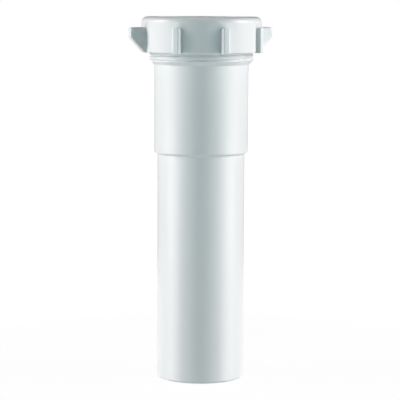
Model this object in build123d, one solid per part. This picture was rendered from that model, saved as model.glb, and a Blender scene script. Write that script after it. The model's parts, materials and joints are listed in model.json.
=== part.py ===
from build123d import *
import os
from math import radians, tan

# Drain extension tube with a slip-joint socket, its screwed slip nut and its bevelled washer.
# Millimetres. The tube stands on its plain end: the origin is the middle of that end and +Z runs
# up the waterway to the socket's mouth. The nut's two wings lie along X.

# Plain tube
tube_od = 38.1  # outside diameter of one and a half inch tubular drainage
tube_wall = 1.6
tube_length = 152.4  # six inches, from the plain end to the socket's mouth
end_chamfer = 0.4  # outer edge of the plain end

# Socket that takes the plain end of the next tube
socket_gap = 0.15  # radial play around that tube
socket_wall = 1.35
socket_depth = 51.5  # from the mouth to the ledge that stops the next tube
shoulder_floor = 2.15  # from that ledge to the underside of the shoulder
shoulder_chamfer = 1.0  # outer corner of the shoulder

# Screwed collar at the mouth, a plain cylinder at the crest of its thread
thread_height = 1.95  # crest above the outside of the socket
thread_length = 13.8
thread_runout = 1.3  # height of the cone that ends the collar on the socket
mouth_chamfer = 0.9  # start of the thread, down to its root
mouth_land = 1.0  # flat lip between that chamfer and the washer's seat
seat_angle = 45.0  # slope of the seat inside the mouth, from the horizontal

# Bevelled slip washer
washer_bore_gap = 0.1  # radial play around a tube of tube_od
washer_side_gap = 0.3  # radial play inside the nut
washer_seat_gap = 0.3  # height of the bevel above the seat, before the nut is pulled up
washer_rim = 1.0  # upright outer edge above the bevel
washer_tip = 0.5  # width of the flat that ends the bevel

# Slip nut
nut_height = 15.3
nut_wall = 3.3  # from the bore to the outside
nut_flange = 2.4  # top that presses on the washer
nut_hole_gap = 0.75  # radial play of the top hole around a tube of tube_od
thread_gap = 0.3  # radial play of the bore around the collar
nut_lead = 0.5  # chamfer that starts the nut on the collar
nut_top_round = 2.5
nut_foot_chamfer = 0.3

# Lugs around the nut: two opposite ones are wings, the rest are low ribs
lug_pairs = 4
lug_thickness = 3.2
lug_drop = 4.5  # from the nut's top to the top of the lugs
lug_round = 0.8  # edges along both flanks
rib_reach = 2.2  # ribs beyond the outside of the nut
wing_reach = 7.2  # wings beyond the outside of the nut
wing_edge = 4.2  # upright outer edge of a wing, above its taper
wing_foot_reach = 1.0  # foot of the taper beyond the outside of the nut
wing_round = 1.5  # corners at a wing's tip, seen from its flank

# A rounded or chamfered corner takes at most this share of the wall that it stands on
corner_share = 0.9

# Radii that follow from the sizes above
tube_r = tube_od / 2
waterway_r = tube_r - tube_wall
socket_bore_r = tube_r + socket_gap
socket_r = socket_bore_r + socket_wall
thread_r = socket_r + thread_height
seat_r = thread_r - mouth_chamfer - mouth_land
nut_bore_r = thread_r + thread_gap
nut_r = nut_bore_r + nut_wall
nut_hole_r = tube_r + nut_hole_gap
washer_bore_r = tube_r + washer_bore_gap
washer_r = nut_bore_r - washer_side_gap
washer_tip_r = washer_bore_r + washer_tip

# Heights that follow from the sizes above
seat_slope = tan(radians(seat_angle))
stop_z = tube_length - socket_depth
shoulder_z = stop_z - shoulder_floor
thread_z = tube_length - thread_length
seat_z = tube_length - (seat_r - socket_bore_r) * seat_slope


def bevel_z(radius):
    """Height of the washer's bevel, which runs parallel to the seat, at a radius."""
    return tube_length + washer_seat_gap + (radius - seat_r) * seat_slope


washer_top_z = bevel_z(washer_r) + washer_rim
nut_top_z = washer_top_z + nut_flange
nut_foot_z = nut_top_z - nut_height
lug_top_z = nut_top_z - lug_drop


def turned(points):
    """Solid of revolution about Z from a closed outline of (radius, height) points."""
    return revolve(Plane.XZ * make_face(Polyline(*points, close=True)), axis=Axis.Z)


def make_tube():
    """Tube, shoulder, socket and screwed collar, moulded in one piece."""
    shoulder_cut = min(shoulder_chamfer, (socket_r - tube_r) * corner_share)
    return turned([
        (waterway_r, 0),
        (tube_r - end_chamfer, 0),
        (tube_r, end_chamfer),
        (tube_r, shoulder_z),
        (socket_r - shoulder_cut, shoulder_z),
        (socket_r, shoulder_z + shoulder_cut),
        (socket_r, thread_z - thread_runout),
        (thread_r, thread_z),
        (thread_r, tube_length - mouth_chamfer),
        (thread_r - mouth_chamfer, tube_length),
        (seat_r, tube_length),
        (socket_bore_r, seat_z),
        (socket_bore_r, stop_z),
        (waterway_r, stop_z),
    ])


def make_washer():
    """Ring with a flat top under the nut and a bevel that wedges into the seat."""
    return turned([
        (washer_bore_r, bevel_z(washer_tip_r)),
        (washer_tip_r, bevel_z(washer_tip_r)),
        (washer_r, bevel_z(washer_r)),
        (washer_r, washer_top_z),
        (washer_bore_r, washer_top_z),
    ])


def make_nut_body():
    """Round nut without its lugs: a skirt with the thread's bore and a holed top."""
    body = turned([
        (nut_hole_r, washer_top_z),
        (nut_bore_r, washer_top_z),
        (nut_bore_r, nut_foot_z + nut_lead),
        (nut_bore_r + nut_lead, nut_foot_z),
        (nut_r - nut_foot_chamfer, nut_foot_z),
        (nut_r, nut_foot_z + nut_foot_chamfer),
        (nut_r, nut_top_z),
        (nut_hole_r, nut_top_z),
    ])
    top_rim = body.edges().group_by(Axis.Z)[-1].sort_by(SortBy.RADIUS)[-1]
    return fillet(top_rim, nut_top_round)


def make_lug(outline):
    """Upright plate in the XZ plane from a (radius, height) face, with rounded edges along its flanks."""
    plate = extrude(Plane.XZ * outline, amount=lug_thickness / 2, both=True)
    root_edges = plate.faces().sort_by(Axis.X)[0].edges()
    foot_edges = plate.faces().sort_by(Axis.Z)[0].edges()
    flank_edges = plate.faces().filter_by(Axis.Y).edges()
    outer_edges = flank_edges.filter_by(lambda edge: edge not in root_edges + foot_edges)
    return fillet(outer_edges, min(lug_round, lug_thickness / 2 * corner_share))


def make_nut():
    """Slip nut: the round body with low ribs and two opposite wings for the fingers."""
    root_r = (nut_bore_r + nut_r) / 2
    rib_r = nut_r + rib_reach
    wing_r = nut_r + wing_reach
    rib_outline = make_face(Polyline(
        (root_r, nut_foot_z),
        (rib_r, nut_foot_z),
        (rib_r, lug_top_z),
        (root_r, lug_top_z),
        close=True,
    ))
    wing_outline = make_face(Polyline(
        (root_r, nut_foot_z),
        (nut_r + wing_foot_reach, nut_foot_z),
        (wing_r, lug_top_z - wing_edge),
        (wing_r, lug_top_z),
        (root_r, lug_top_z),
        close=True,
    ))
    wing_tips = wing_outline.vertices().group_by(Axis.X)[-1]
    rib = make_lug(rib_outline)
    wing = make_lug(fillet(wing_tips, wing_round))
    nut = make_nut_body()
    lug_count = 2 * lug_pairs
    for index in range(lug_count):
        lug = wing if index % lug_pairs == 0 else rib
        nut += Rot(Z=index * 360 / lug_count) * lug
    return nut


pieces = {
    "extension_tube": make_tube(),
    "slip_washer": make_washer(),
    "slip_nut": make_nut(),
}
os.makedirs("parts", exist_ok=True)
for name, piece in pieces.items():
    export_step(piece, f"parts/{name}.step")
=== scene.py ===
"""Drain extension tube with its slip nut and washer, dressed for its photograph.

Lengths are millimetres, and become metres where a mesh, lamp or camera is made. The frame is the
part's own: the origin is the middle of the tube's plain end and +Z runs up the waterway.
"""

import json
import logging
import math
from collections.abc import Callable, Sequence
from dataclasses import dataclass
from enum import Enum
from typing import Any

import bmesh
import bpy
from mathutils import Matrix, Vector


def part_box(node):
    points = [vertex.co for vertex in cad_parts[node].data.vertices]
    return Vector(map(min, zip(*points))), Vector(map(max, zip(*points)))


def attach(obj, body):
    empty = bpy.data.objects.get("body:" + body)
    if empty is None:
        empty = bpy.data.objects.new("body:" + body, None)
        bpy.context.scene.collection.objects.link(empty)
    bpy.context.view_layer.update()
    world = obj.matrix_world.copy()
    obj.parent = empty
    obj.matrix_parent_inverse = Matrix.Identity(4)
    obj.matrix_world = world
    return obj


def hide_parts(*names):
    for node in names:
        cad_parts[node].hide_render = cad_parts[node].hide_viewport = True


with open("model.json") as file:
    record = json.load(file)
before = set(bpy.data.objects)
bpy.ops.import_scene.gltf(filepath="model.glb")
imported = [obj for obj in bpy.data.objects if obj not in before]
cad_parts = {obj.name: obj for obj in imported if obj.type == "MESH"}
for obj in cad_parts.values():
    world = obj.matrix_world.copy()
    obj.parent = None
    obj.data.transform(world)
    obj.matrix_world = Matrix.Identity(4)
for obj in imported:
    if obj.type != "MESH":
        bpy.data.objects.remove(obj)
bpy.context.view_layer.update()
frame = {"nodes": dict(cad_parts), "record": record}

logger = logging.getLogger("drain_extension_tube")

MM = 0.001  # metres in a millimetre
TURN_STEPS = 192  # faces around a turned piece
ROUND_SEGMENTS = 5  # faces across a rounded corner
ROWS_PER_PITCH = 16  # faces along one pitch of a thread
LAYER_PRECISION = 1e-6  # share by which a number may change when a mesh layer keeps it
EVEN_SCATTER = (1.0, 1.0, 1.0)  # red, green and blue light wander equally far in a white plastic


class Node(Enum):
    """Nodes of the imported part."""

    TUBE = "extension_tube"
    NUT = "slip_nut"
    WASHER = "slip_washer"


class Body(Enum):
    """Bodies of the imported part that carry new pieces."""

    TUBE = "tube"
    NUT = "nut"


class Slot(Enum):
    """Material slots of the record."""

    TUBE = "tube_plastic"
    NUT = "nut_plastic"


class Side(Enum):
    """Sides of the camera, with the sign of an azimuth there."""

    LEFT = -1
    RIGHT = 1


def linear_colour(code: str) -> tuple[float, float, float, float]:
    """Turns an sRGB colour into the linear one that shaders take.

    Args:
        code: Colour as "#RRGGBB".

    Returns:
        Linear red, green and blue, and an alpha of 1.
    """
    shares = [int(code[start:start + 2], 16) / 255 for start in (1, 3, 5)]
    red, green, blue = (s / 12.92 if s <= 0.04045 else ((s + 0.055) / 1.055) ** 2.4 for s in shares)
    return red, green, blue, 1.0


def add_node(
    tree: bpy.types.NodeTree, kind: str, inputs: dict[str | int, Any] | None = None, **settings: Any
) -> bpy.types.Node:
    """Adds a node with its settings and links.

    Args:
        tree: Node tree that takes the node.
        kind: Blender's name for the kind of node.
        inputs: For each input by name or number, its value or the output that feeds it.
        settings: The node's own properties.

    Returns:
        The new node.
    """
    node = tree.nodes.new(kind)
    for name, value in settings.items():
        setattr(node, name, value)
    for key, value in (inputs or {}).items():
        if isinstance(value, bpy.types.NodeSocket):
            tree.links.new(value, node.inputs[key])
        else:
            node.inputs[key].default_value = value
    return node


def new_material(name: str) -> tuple[bpy.types.Material, bpy.types.NodeTree]:
    """Makes a material with an empty node tree.

    Args:
        name: Name of the material.

    Returns:
        The material and its node tree.
    """
    material = bpy.data.materials.new(name)
    material.use_nodes = True
    material.node_tree.nodes.clear()
    return material, material.node_tree


@dataclass(frozen=True)
class MouldedPolypropylene:
    """White polypropylene from a polished injection mould.

    It gives the eye a soft satin gloss over a cool white that lets a little light in, with faint
    streaks where the melt flowed along the piece and a very fine orange-peel skin.
    """

    name: str = "moulded_white_polypropylene"
    white: str = "#EAEDED"
    streak: str = "#E7EBEB"  # the slightly denser colour in the flow streaks
    ior: float = 1.49
    smooth_roughness: float = 0.34
    dull_roughness: float = 0.38
    streak_width: float = 6.0
    streak_length: float = 45.0
    streak_detail: float = 3.0  # finer streaks within the streaks
    skin_grain: float = 0.9  # drawn coarser than the real 0.2, which would not show
    skin_detail: float = 2.0
    skin_height: float = 0.004
    light_depth: float = 1.5  # how far light wanders under the skin
    light_share: float = 0.1

    def material(self) -> bpy.types.Material:
        """Builds the material, with its patterns in the part's own frame.

        Returns:
            The finished material.
        """
        material, tree = new_material(self.name)
        place = add_node(tree, "ShaderNodeTexCoord").outputs["Object"]
        squeeze = (1.0, 1.0, self.streak_width / self.streak_length)
        along = add_node(tree, "ShaderNodeMapping", {"Vector": place, "Scale": squeeze})
        streaks = add_node(
            tree,
            "ShaderNodeTexNoise",
            {
                "Vector": along.outputs["Vector"],
                "Scale": 1 / (self.streak_width * MM),
                "Detail": self.streak_detail,
            },
        )
        colour = add_node(
            tree,
            "ShaderNodeMix",
            {0: streaks.outputs["Fac"], 6: linear_colour(self.white), 7: linear_colour(self.streak)},
            data_type="RGBA",
        )
        grain = add_node(
            tree,
            "ShaderNodeTexNoise",
            {"Vector": place, "Scale": 1 / (self.skin_grain * MM), "Detail": self.skin_detail},
        )
        gloss = add_node(
            tree,
            "ShaderNodeMapRange",
            {
                "Value": streaks.outputs["Fac"],
                "To Min": self.smooth_roughness,
                "To Max": self.dull_roughness,
            },
        )
        skin = add_node(
            tree, "ShaderNodeBump", {"Height": grain.outputs["Fac"], "Distance": self.skin_height * MM}
        )
        shader = add_node(
            tree,
            "ShaderNodeBsdfPrincipled",
            {
                "Base Color": colour.outputs[2],
                "Roughness": gloss.outputs["Result"],
                "Normal": skin.outputs["Normal"],
                "IOR": self.ior,
                "Subsurface Weight": self.light_share,
                "Subsurface Radius": EVEN_SCATTER,
                "Subsurface Scale": self.light_depth * MM,
            },
        )
        add_node(tree, "ShaderNodeOutputMaterial", {"Surface": shader.outputs["BSDF"]})
        return material


@dataclass(frozen=True)
class NaturalPolyethylene:
    """Unpigmented polyethylene, as a slip washer is moulded from.

    It gives the eye a waxy, milky white with light glowing through its thin edge, and soft cloudy
    patches in its colour and its sheen.
    """

    name: str = "moulded_natural_polyethylene"
    milky: str = "#DEE0DA"
    clear: str = "#D0D4CF"  # where the plastic is less cloudy
    ior: float = 1.51
    waxy_roughness: float = 0.38
    dull_roughness: float = 0.5
    cloud_size: float = 4.0
    cloud_detail: float = 3.0
    light_depth: float = 3.0
    light_share: float = 0.5

    def material(self) -> bpy.types.Material:
        """Builds the material, with its clouds in the part's own frame.

        Returns:
            The finished material.
        """
        material, tree = new_material(self.name)
        place = add_node(tree, "ShaderNodeTexCoord").outputs["Object"]
        clouds = add_node(
            tree,
            "ShaderNodeTexNoise",
            {"Vector": place, "Scale": 1 / (self.cloud_size * MM), "Detail": self.cloud_detail},
        )
        colour = add_node(
            tree,
            "ShaderNodeMix",
            {0: clouds.outputs["Fac"], 6: linear_colour(self.milky), 7: linear_colour(self.clear)},
            data_type="RGBA",
        )
        sheen = add_node(
            tree,
            "ShaderNodeMapRange",
            {
                "Value": clouds.outputs["Fac"],
                "To Min": self.waxy_roughness,
                "To Max": self.dull_roughness,
            },
        )
        shader = add_node(
            tree,
            "ShaderNodeBsdfPrincipled",
            {
                "Base Color": colour.outputs[2],
                "Roughness": sheen.outputs["Result"],
                "IOR": self.ior,
                "Subsurface Weight": self.light_share,
                "Subsurface Radius": EVEN_SCATTER,
                "Subsurface Scale": self.light_depth * MM,
            },
        )
        add_node(tree, "ShaderNodeOutputMaterial", {"Surface": shader.outputs["BSDF"]})
        return material


def seen_directly(tree: bpy.types.NodeTree) -> bpy.types.NodeSocket:
    """Finds where a surface is seen by the camera, in a reflection or through glass.

    Args:
        tree: Node tree that takes the nodes.

    Returns:
        Output that is 1 for such rays and 0 for the light that falls on the object.
    """
    path = add_node(tree, "ShaderNodeLightPath")
    mirrored = add_node(
        tree,
        "ShaderNodeMath",
        {0: path.outputs["Is Glossy Ray"], 1: path.outputs["Is Transmission Ray"]},
        operation="MAXIMUM",
    )
    seen = add_node(
        tree,
        "ShaderNodeMath",
        {0: path.outputs["Is Camera Ray"], 1: mirrored.outputs["Value"]},
        operation="MAXIMUM",
    )
    return seen.outputs["Value"]


@dataclass(frozen=True)
class LitAcrylic:
    """Translucent acrylic of a lit product table, which reads as white and keeps a soft shadow."""

    name: str = "translucent_white_acrylic"
    scattered: str = "#8C9090"  # what its upper face gives back of the lamps' light
    glow: float = 1.1  # radiance of the light in the table, as the camera sees it
    near_share: float = 0.88  # of that radiance near the object, where the shadow lies
    near: float = 120.0  # from the tube's axis
    far: float = 320.0  # from where all of it is seen

    def material(self) -> bpy.types.Material:
        """Builds the material.

        Returns:
            The finished material.
        """
        material, tree = new_material(self.name)
        face = add_node(tree, "ShaderNodeBsdfDiffuse", {"Color": linear_colour(self.scattered)})
        glow = add_node(tree, "ShaderNodeEmission", {"Strength": self.glow})
        place = add_node(tree, "ShaderNodeTexCoord").outputs["Object"]
        away = add_node(tree, "ShaderNodeVectorMath", {0: place}, operation="LENGTH")
        share = add_node(
            tree,
            "ShaderNodeMapRange",
            {
                "Value": away.outputs["Value"],
                "From Min": self.near * MM,
                "From Max": self.far * MM,
                "To Min": self.near_share,
            },
            interpolation_type="SMOOTHSTEP",
        )
        seen = add_node(
            tree,
            "ShaderNodeMath",
            {0: seen_directly(tree), 1: share.outputs["Result"]},
            operation="MULTIPLY",
        )
        both = add_node(
            tree,
            "ShaderNodeMixShader",
            {0: seen.outputs["Value"], 1: face.outputs["BSDF"], 2: glow.outputs["Emission"]},
        )
        add_node(tree, "ShaderNodeOutputMaterial", {"Surface": both.outputs["Shader"]})
        return material


@dataclass(frozen=True)
class SlipThread:
    """Right-hand thread of the collar, with broad flat crests and eased flanks."""

    pitch: float
    depth: float = 0.8
    groove_z: float = 138.0  # middle of a groove, on the +X side
    crest_share: float = 0.47  # of the pitch that is flat crest
    root_share: float = 0.06  # of the pitch that is flat root

    def rise(self, angle: float, height: float) -> float:
        """Gives how far the thread stands out from its root.

        Args:
            angle: Angle about +Z from +X, in radians.
            height: Height above the plain end.

        Returns:
            Radial height above the root, up to the depth.
        """
        turns = (height - self.groove_z) / self.pitch - angle / math.tau
        to_crest = 1 - abs(2 * (turns % 1) - 1)
        flank = (to_crest - self.root_share) / (1 - self.root_share - self.crest_share)
        share = min(max(flank, 0.0), 1.0)
        return self.depth * share * share * (3 - 2 * share)


def slip_thread() -> SlipThread:
    """The thread, with its pitch from the record's coupling of the nut's lift to its turn."""
    return SlipThread(pitch=frame["record"]["behaviour"]["couplings"][0]["ratio"] * math.tau / MM)


@dataclass(frozen=True)
class Corner:
    """Corner of a turned outline, rounded by up to its rounding."""

    radius: float
    height: float
    rounding: float = 0.0


def mount_radius(name: str) -> float:
    """Radius of one of the record's mounts."""
    return next(mount["dims"]["r_mm"] for mount in frame["record"]["mounts"] if mount["name"] == name)


def link_mesh(name: str, shape: bmesh.types.BMesh) -> bpy.types.Object:
    """Puts a finished shape into the scene, at the origin.

    Args:
        name: Name of the object.
        shape: Its shape in metres, which is freed.

    Returns:
        The object.
    """
    mesh = bpy.data.meshes.new(name)
    shape.to_mesh(mesh)
    shape.free()
    piece = bpy.data.objects.new(name, mesh)
    bpy.context.scene.collection.objects.link(piece)
    return piece


def turned_piece(
    name: str, corners: Sequence[Corner], thread_edge: int, radius_at: Callable[[float, float], float]
) -> bpy.types.Object:
    """Turns a closed outline about Z and forms a thread on one of its edges.

    Args:
        name: Name of the piece.
        corners: Outline, in order.
        thread_edge: Number of the corner at which the threaded edge starts.
        radius_at: Gives the threaded surface's radius at an angle in radians and a height.

    Returns:
        The piece, at the origin.
    """
    shell = bmesh.new()
    threaded = shell.verts.layers.int.new("threaded")
    rounding = shell.verts.layers.float.new("rounding")
    points = [shell.verts.new((corner.radius * MM, 0.0, corner.height * MM)) for corner in corners]
    for point, corner in zip(points, corners):
        point[rounding] = corner.rounding
    edges = [shell.edges.new(ends) for ends in zip(points, points[1:] + points[:1])]
    length = edges[thread_edge].calc_length() / MM
    rows = round(length / slip_thread().pitch * ROWS_PER_PITCH)
    cut = bmesh.ops.subdivide_edges(shell, edges=[edges[thread_edge]], cuts=rows - 1)
    for vertex in cut["geom_inner"]:
        if isinstance(vertex, bmesh.types.BMVert):
            vertex[threaded] = 1
    for size in {corner.rounding for corner in corners} - {0.0}:
        alike = [
            vertex
            for vertex in shell.verts
            if math.isclose(vertex[rounding], size, rel_tol=LAYER_PRECISION)
        ]
        bmesh.ops.bevel(
            shell,
            geom=alike,
            offset=size * MM,
            offset_type="OFFSET",
            segments=ROUND_SEGMENTS,
            profile=0.5,
            affect="VERTICES",
            material=-1,
        )
    bmesh.ops.spin(
        shell,
        geom=shell.verts[:] + shell.edges[:],
        cent=(0, 0, 0),
        axis=(0, 0, 1),
        angle=math.tau,
        steps=TURN_STEPS,
        use_merge=True,
    )
    for vertex in shell.verts:
        if vertex[threaded]:
            angle = math.atan2(vertex.co.y, vertex.co.x)
            radius = radius_at(angle, vertex.co.z / MM) * MM
            vertex.co.x = radius * math.cos(angle)
            vertex.co.y = radius * math.sin(angle)
    shell.verts.layers.int.remove(threaded)
    shell.verts.layers.float.remove(rounding)
    bmesh.ops.recalc_face_normals(shell, faces=shell.faces)
    piece = link_mesh(name, shell)
    piece.data.shade_smooth()
    piece.modifiers.new("even_walls", "WEIGHTED_NORMAL")
    return piece


@dataclass
class ExtensionTube:
    """The moulded tube: plain length, shoulder, socket and threaded collar."""

    finish: MouldedPolypropylene
    tube_wall: float = 1.6
    socket_wall: float = 1.35
    socket_depth: float = 51.5
    shoulder_floor: float = 2.15
    thread_length: float = 13.8
    thread_runout: float = 1.3
    runout_taper: float = 2.0  # height over which the thread comes up to its crest
    mouth_land: float = 1.0  # flat lip around the washer's seat
    seat_drop: float = 1.4  # height of the washer's seat inside the mouth
    end_rounding: float = 1.0
    shoulder_rounding: float = 1.35
    shoulder_root_rounding: float = 0.1
    bore_rounding: float = 0.3
    lip_rounding: float = 0.2
    collar_edge: int = 4  # corner of the outline at which the threaded collar starts

    def __post_init__(self) -> None:
        """Takes the radii and the length from the frame."""
        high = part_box(Node.TUBE.value)[1] / MM
        self.length: float = high.z
        self.thread_r: float = high.x
        self.tube_r: float = mount_radius("plain_end")
        self.bore_r: float = mount_radius("slip_socket")
        self.socket_r: float = self.bore_r + self.socket_wall
        self.thread: SlipThread = slip_thread()
        self.root_r: float = self.thread_r - self.thread.depth
        self.thread_z: float = self.length - self.thread_length
        self.runout_z: float = self.thread_z - self.thread_runout

    def corners(self) -> list[Corner]:
        """Lists the outline from the plain end up the outside and down the inside.

        Returns:
            Corners, of which the one at collar_edge starts the threaded collar.
        """
        stop_z = self.length - self.socket_depth
        shoulder_z = stop_z - self.shoulder_floor
        waterway_r = self.tube_r - self.tube_wall
        return [
            Corner(waterway_r, 0, self.bore_rounding),
            Corner(self.tube_r, 0, self.end_rounding),
            Corner(self.tube_r, shoulder_z, self.shoulder_root_rounding),
            Corner(self.socket_r, shoulder_z, self.shoulder_rounding),
            Corner(self.socket_r, self.runout_z),
            Corner(self.root_r, self.length),
            Corner(self.root_r - self.mouth_land, self.length, self.lip_rounding),
            Corner(self.bore_r, self.length - self.seat_drop, self.bore_rounding),
            Corner(self.bore_r, stop_z, self.bore_rounding),
            Corner(waterway_r, stop_z, self.bore_rounding),
        ]

    def collar_radius(self, angle: float, height: float) -> float:
        """Gives the collar's radius, with the thread fading into its run-out and its mouth.

        Args:
            angle: Angle about +Z from +X, in radians.
            height: Height above the plain end.

        Returns:
            Radius of the moulded surface.
        """
        runout_share = (height - self.runout_z) / self.runout_taper
        runout_r = self.socket_r + (self.thread_r - self.socket_r) * runout_share
        mouth_r = self.root_r + self.length - height
        return min(self.root_r + self.thread.rise(angle, height), runout_r, mouth_r)

    def build(self) -> bpy.types.Object:
        """Makes the tube in place of its plain solid and dresses it.

        Returns:
            The moulded tube.
        """
        piece = turned_piece("moulded_tube", self.corners(), self.collar_edge, self.collar_radius)
        piece.data.materials.append(self.finish.material())
        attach(piece, Body.TUBE.value)
        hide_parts(Node.TUBE.value)
        return piece


@dataclass
class SlipNut:
    """The slip nut: its solid, and the thread inside it."""

    finish: MouldedPolypropylene
    thread_gap: float = 0.3  # radial play of the nut's bore around the collar
    lead: float = 0.5  # chamfer below the thread
    thread_top_z: float = 153.0
    sunk: float = 0.2  # how far the thread's back stands in the nut's wall
    skin: float = 0.02  # how far the thread's root stands clear of the bore

    def __post_init__(self) -> None:
        """Takes the radii and heights from the frame."""
        self.bore_r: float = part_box(Node.TUBE.value)[1].x / MM + self.thread_gap
        self.thread_foot_z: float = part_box(Node.NUT.value)[0].z / MM + self.lead
        self.thread: SlipThread = slip_thread()

    def thread_radius(self, angle: float, height: float) -> float:
        """Gives the radius of the thread inside the nut, which lies along the collar's grooves.

        Args:
            angle: Angle about +Z from +X, in radians.
            height: Height above the tube's plain end.

        Returns:
            Radius of the moulded surface.
        """
        slope = min(height - self.thread_foot_z, self.thread_top_z - height)
        ridge = self.thread.depth - self.thread.rise(angle, height)
        return self.bore_r - self.skin - min(ridge, slope)

    def build(self) -> list[bpy.types.Object]:
        """Dresses the nut's solid and makes the thread in its bore.

        Returns:
            The nut and its thread.
        """
        material = self.finish.material()
        nut = frame["nodes"][Node.NUT.value]
        nut.material_slots[0].material = material
        inner_r = self.bore_r - self.skin
        outer_r = self.bore_r + self.sunk
        corners = [
            Corner(inner_r, self.thread_top_z),
            Corner(inner_r, self.thread_foot_z),
            Corner(outer_r, self.thread_foot_z),
            Corner(outer_r, self.thread_top_z),
        ]
        thread = turned_piece("nut_thread", corners, 0, self.thread_radius)
        thread.data.materials.append(material)
        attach(thread, Body.NUT.value)
        return [nut, thread]


@dataclass
class SlipWasher:
    """The bevelled washer under the nut's top."""

    finish: NaturalPolyethylene

    def build(self) -> bpy.types.Object:
        """Dresses the washer's solid.

        Returns:
            The washer.
        """
        washer = frame["nodes"][Node.WASHER.value]
        washer.material_slots[0].material = self.finish.material()
        return washer


def facing_axis(azimuth: float, distance: float, height: float) -> Matrix:
    """Places a lamp, card or camera, which look along their own -Z, level and facing the tube's axis.

    Args:
        azimuth: Degrees about +Z from -Y.
        distance: From the axis.
        height: Above the plain end.

    Returns:
        Place and turn, in metres.
    """
    turn = math.radians(azimuth)
    stand = Vector((math.sin(turn) * distance, -math.cos(turn) * distance, height))
    return (
        Matrix.Translation(stand * MM)
        @ Matrix.Rotation(turn, 4, "Z")
        @ Matrix.Rotation(math.radians(90), 4, "X")
    )


@dataclass(frozen=True)
class PhotoCamera:
    """Camera at the photograph's viewing angle."""

    azimuth: float = -22.2  # degrees, which puts one wing at the front left
    distance: float = 765.5  # from the tube's axis, level
    height: float = 165.5
    pitch: float = 6.52  # degrees below level
    roll: float = 0.25  # degrees, for the slight lean of the tube in the photograph
    focal_px: float = 1757.5
    image_px: float = 400.0
    axis_px: float = 200.8  # across the image, where the tube's axis stands half way up

    def build(self) -> None:
        """Makes the camera and gives it to the scene."""
        lens = bpy.data.cameras.new("photo_camera")
        lens.lens = lens.sensor_width * self.focal_px / self.image_px
        camera = bpy.data.objects.new("photo_camera", lens)
        aside = math.atan((self.axis_px - self.image_px / 2) / self.focal_px)
        camera.matrix_world = (
            facing_axis(self.azimuth, self.distance, self.height)
            @ Matrix.Rotation(aside, 4, "Y")
            @ Matrix.Rotation(math.radians(-self.pitch), 4, "X")
            @ Matrix.Rotation(math.radians(self.roll), 4, "Z")
        )
        bpy.context.scene.collection.objects.link(camera)
        bpy.context.scene.camera = camera


@dataclass(frozen=True)
class SoftboxPair:
    """Two equal soft lamps, one on each side of the camera, that face the tube's axis."""

    name: str
    azimuth: float  # degrees from the camera's side
    middle_z: float
    width: float
    tall: float
    radiance: float
    colour: str = "#FFF4F4"
    distance: float = 500.0

    def build(self, camera_azimuth: float) -> None:
        """Makes both lamps.

        Args:
            camera_azimuth: Azimuth of the photograph's camera, in degrees.
        """
        for side in Side:
            name = f"{side.name.lower()}_{self.name}"
            light = bpy.data.lights.new(name, "AREA")
            light.shape = "RECTANGLE"
            light.size = self.width * MM
            light.size_y = self.tall * MM
            light.energy = self.radiance * math.pi * light.size * light.size_y
            light.color = linear_colour(self.colour)[:3]
            lamp = bpy.data.objects.new(name, light)
            azimuth = camera_azimuth + side.value * self.azimuth
            lamp.matrix_world = facing_axis(azimuth, self.distance, self.middle_z)
            lamp.visible_camera = False
            bpy.context.scene.collection.objects.link(lamp)


@dataclass(frozen=True)
class BlackCard:
    """Matt black card behind the object, seen only in its gloss, where it darkens a white edge."""

    name: str
    azimuth: float  # degrees from the camera's side, positive to its right
    distance: float = 300.0
    middle_z: float = 75.0
    width: float = 420.0
    tall: float = 600.0
    black: str = "#1A1A1A"

    def build(self, camera_azimuth: float) -> None:
        """Makes the card.

        Args:
            camera_azimuth: Azimuth of the photograph's camera, in degrees.
        """
        material, tree = new_material("matt_black_card")
        matt = add_node(tree, "ShaderNodeBsdfDiffuse", {"Color": linear_colour(self.black)})
        add_node(tree, "ShaderNodeOutputMaterial", {"Surface": matt.outputs["BSDF"]})
        card = bmesh.new()
        bmesh.ops.create_grid(card, x_segments=1, y_segments=1, size=self.width / 2 * MM)
        bmesh.ops.scale(card, verts=card.verts, vec=(1.0, self.tall / self.width, 1.0))
        place = facing_axis(camera_azimuth + self.azimuth, self.distance, self.middle_z)
        bmesh.ops.transform(card, verts=card.verts, matrix=place)
        piece = link_mesh(self.name, card)
        piece.data.materials.append(material)
        piece.visible_camera = False
        piece.visible_diffuse = False
        piece.visible_shadow = False


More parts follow.
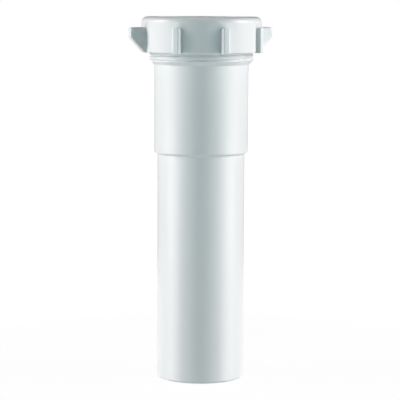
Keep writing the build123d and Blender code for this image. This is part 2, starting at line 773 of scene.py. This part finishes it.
@dataclass(frozen=True)
class Studio:
    """White table, softboxes and black cards around the object, and a dim, cool room."""

    table: LitAcrylic
    floor_width: float = 6000.0
    room_colour: str = "#B8CFD0"
    room_level: float = 0.34
    background_colour: str = "#FFFFFF"
    background_level: float = 1.0
    wall_top: float = 20.0  # degrees above level to which the room is lit and the background white
    ceiling: float = 45.0  # degrees above level from which both are dark
    lamps: tuple[SoftboxPair, ...] = (
        # lights the nut, and draws the bright bands on it and on the socket
        SoftboxPair("softbox", azimuth=85.0, middle_z=400.0, width=140.0, tall=300.0, radiance=17.0),
        # draws the bands from the shoulder down
        SoftboxPair("panel", azimuth=77.0, middle_z=36.0, width=280.0, tall=68.0, radiance=9.7),
        # shines up through the table and carries the bands to the plain end
        SoftboxPair("low_panel", azimuth=77.0, middle_z=-120.0, width=280.0, tall=120.0, radiance=8.3),
        # lifts the cool shade along the front
        SoftboxPair(
            "fill", azimuth=53.0, middle_z=185.0, width=140.0, tall=366.0, radiance=2.2, colour="#C2FAFF"
        ),
    )
    cards: tuple[BlackCard, ...] = (
        BlackCard("left_black_card", -135.0),
        BlackCard("right_black_card", 135.0),
        BlackCard("back_black_card", 180.0),
    )

    def floor(self) -> None:
        """Makes the table top under the plain end."""
        sheet = bmesh.new()
        bmesh.ops.create_grid(sheet, x_segments=1, y_segments=1, size=self.floor_width / 2 * MM)
        floor = link_mesh("table_top", sheet)
        floor.data.materials.append(self.table.material())
        floor.visible_shadow = False  # the acrylic lets the low panels' light through

    def room(self) -> None:
        """Makes the room's dim light, behind which the camera sees white."""
        world = bpy.data.worlds.new("studio_room")
        world.use_nodes = True
        tree = world.node_tree
        tree.nodes.clear()
        white = add_node(
            tree,
            "ShaderNodeBackground",
            {"Color": linear_colour(self.background_colour), "Strength": self.background_level},
        )
        facing = add_node(tree, "ShaderNodeTexCoord").outputs["Generated"]
        upward = add_node(tree, "ShaderNodeSeparateXYZ", {"Vector": facing})
        wall = add_node(
            tree,
            "ShaderNodeMapRange",
            {
                "Value": upward.outputs["Z"],
                "From Min": math.sin(math.radians(self.ceiling)),
                "From Max": math.sin(math.radians(self.wall_top)),
            },
            interpolation_type="SMOOTHSTEP",
        )
        level = add_node(
            tree, "ShaderNodeMath", {0: wall.outputs["Result"], 1: self.room_level}, operation="MULTIPLY"
        )
        room = add_node(
            tree,
            "ShaderNodeBackground",
            {"Color": linear_colour(self.room_colour), "Strength": level.outputs["Value"]},
        )
        shown = add_node(
            tree,
            "ShaderNodeMath",
            {0: seen_directly(tree), 1: wall.outputs["Result"]},
            operation="MULTIPLY",
        )
        both = add_node(
            tree,
            "ShaderNodeMixShader",
            {0: shown.outputs["Value"], 1: room.outputs["Background"], 2: white.outputs["Background"]},
        )
        add_node(tree, "ShaderNodeOutputWorld", {"Surface": both.outputs["Shader"]})
        bpy.context.scene.world = world

    def build(self, camera: PhotoCamera) -> None:
        """Sets up the floor, the room, the lamps and the cards.

        Args:
            camera: The photograph's camera, from which the lamps and cards are placed.
        """
        self.floor()
        self.room()
        for item in (*self.lamps, *self.cards):
            item.build(camera.azimuth)
        bpy.context.scene.view_settings.view_transform = "Standard"


def main() -> None:
    """Builds the tube, the nut, the washer, the camera and the studio."""
    logging.basicConfig(level=logging.INFO, format="%(name)s: %(message)s")
    plastic = MouldedPolypropylene()
    pieces = [
        ExtensionTube(plastic).build(),
        *SlipNut(plastic).build(),
        SlipWasher(NaturalPolyethylene()).build(),
    ]
    for piece in pieces:
        logger.info("%s: %d faces", piece.name, len(piece.data.polygons))
    camera = PhotoCamera()
    camera.build()
    Studio(LitAcrylic()).build(camera)


if __name__ == "__main__":
    main()
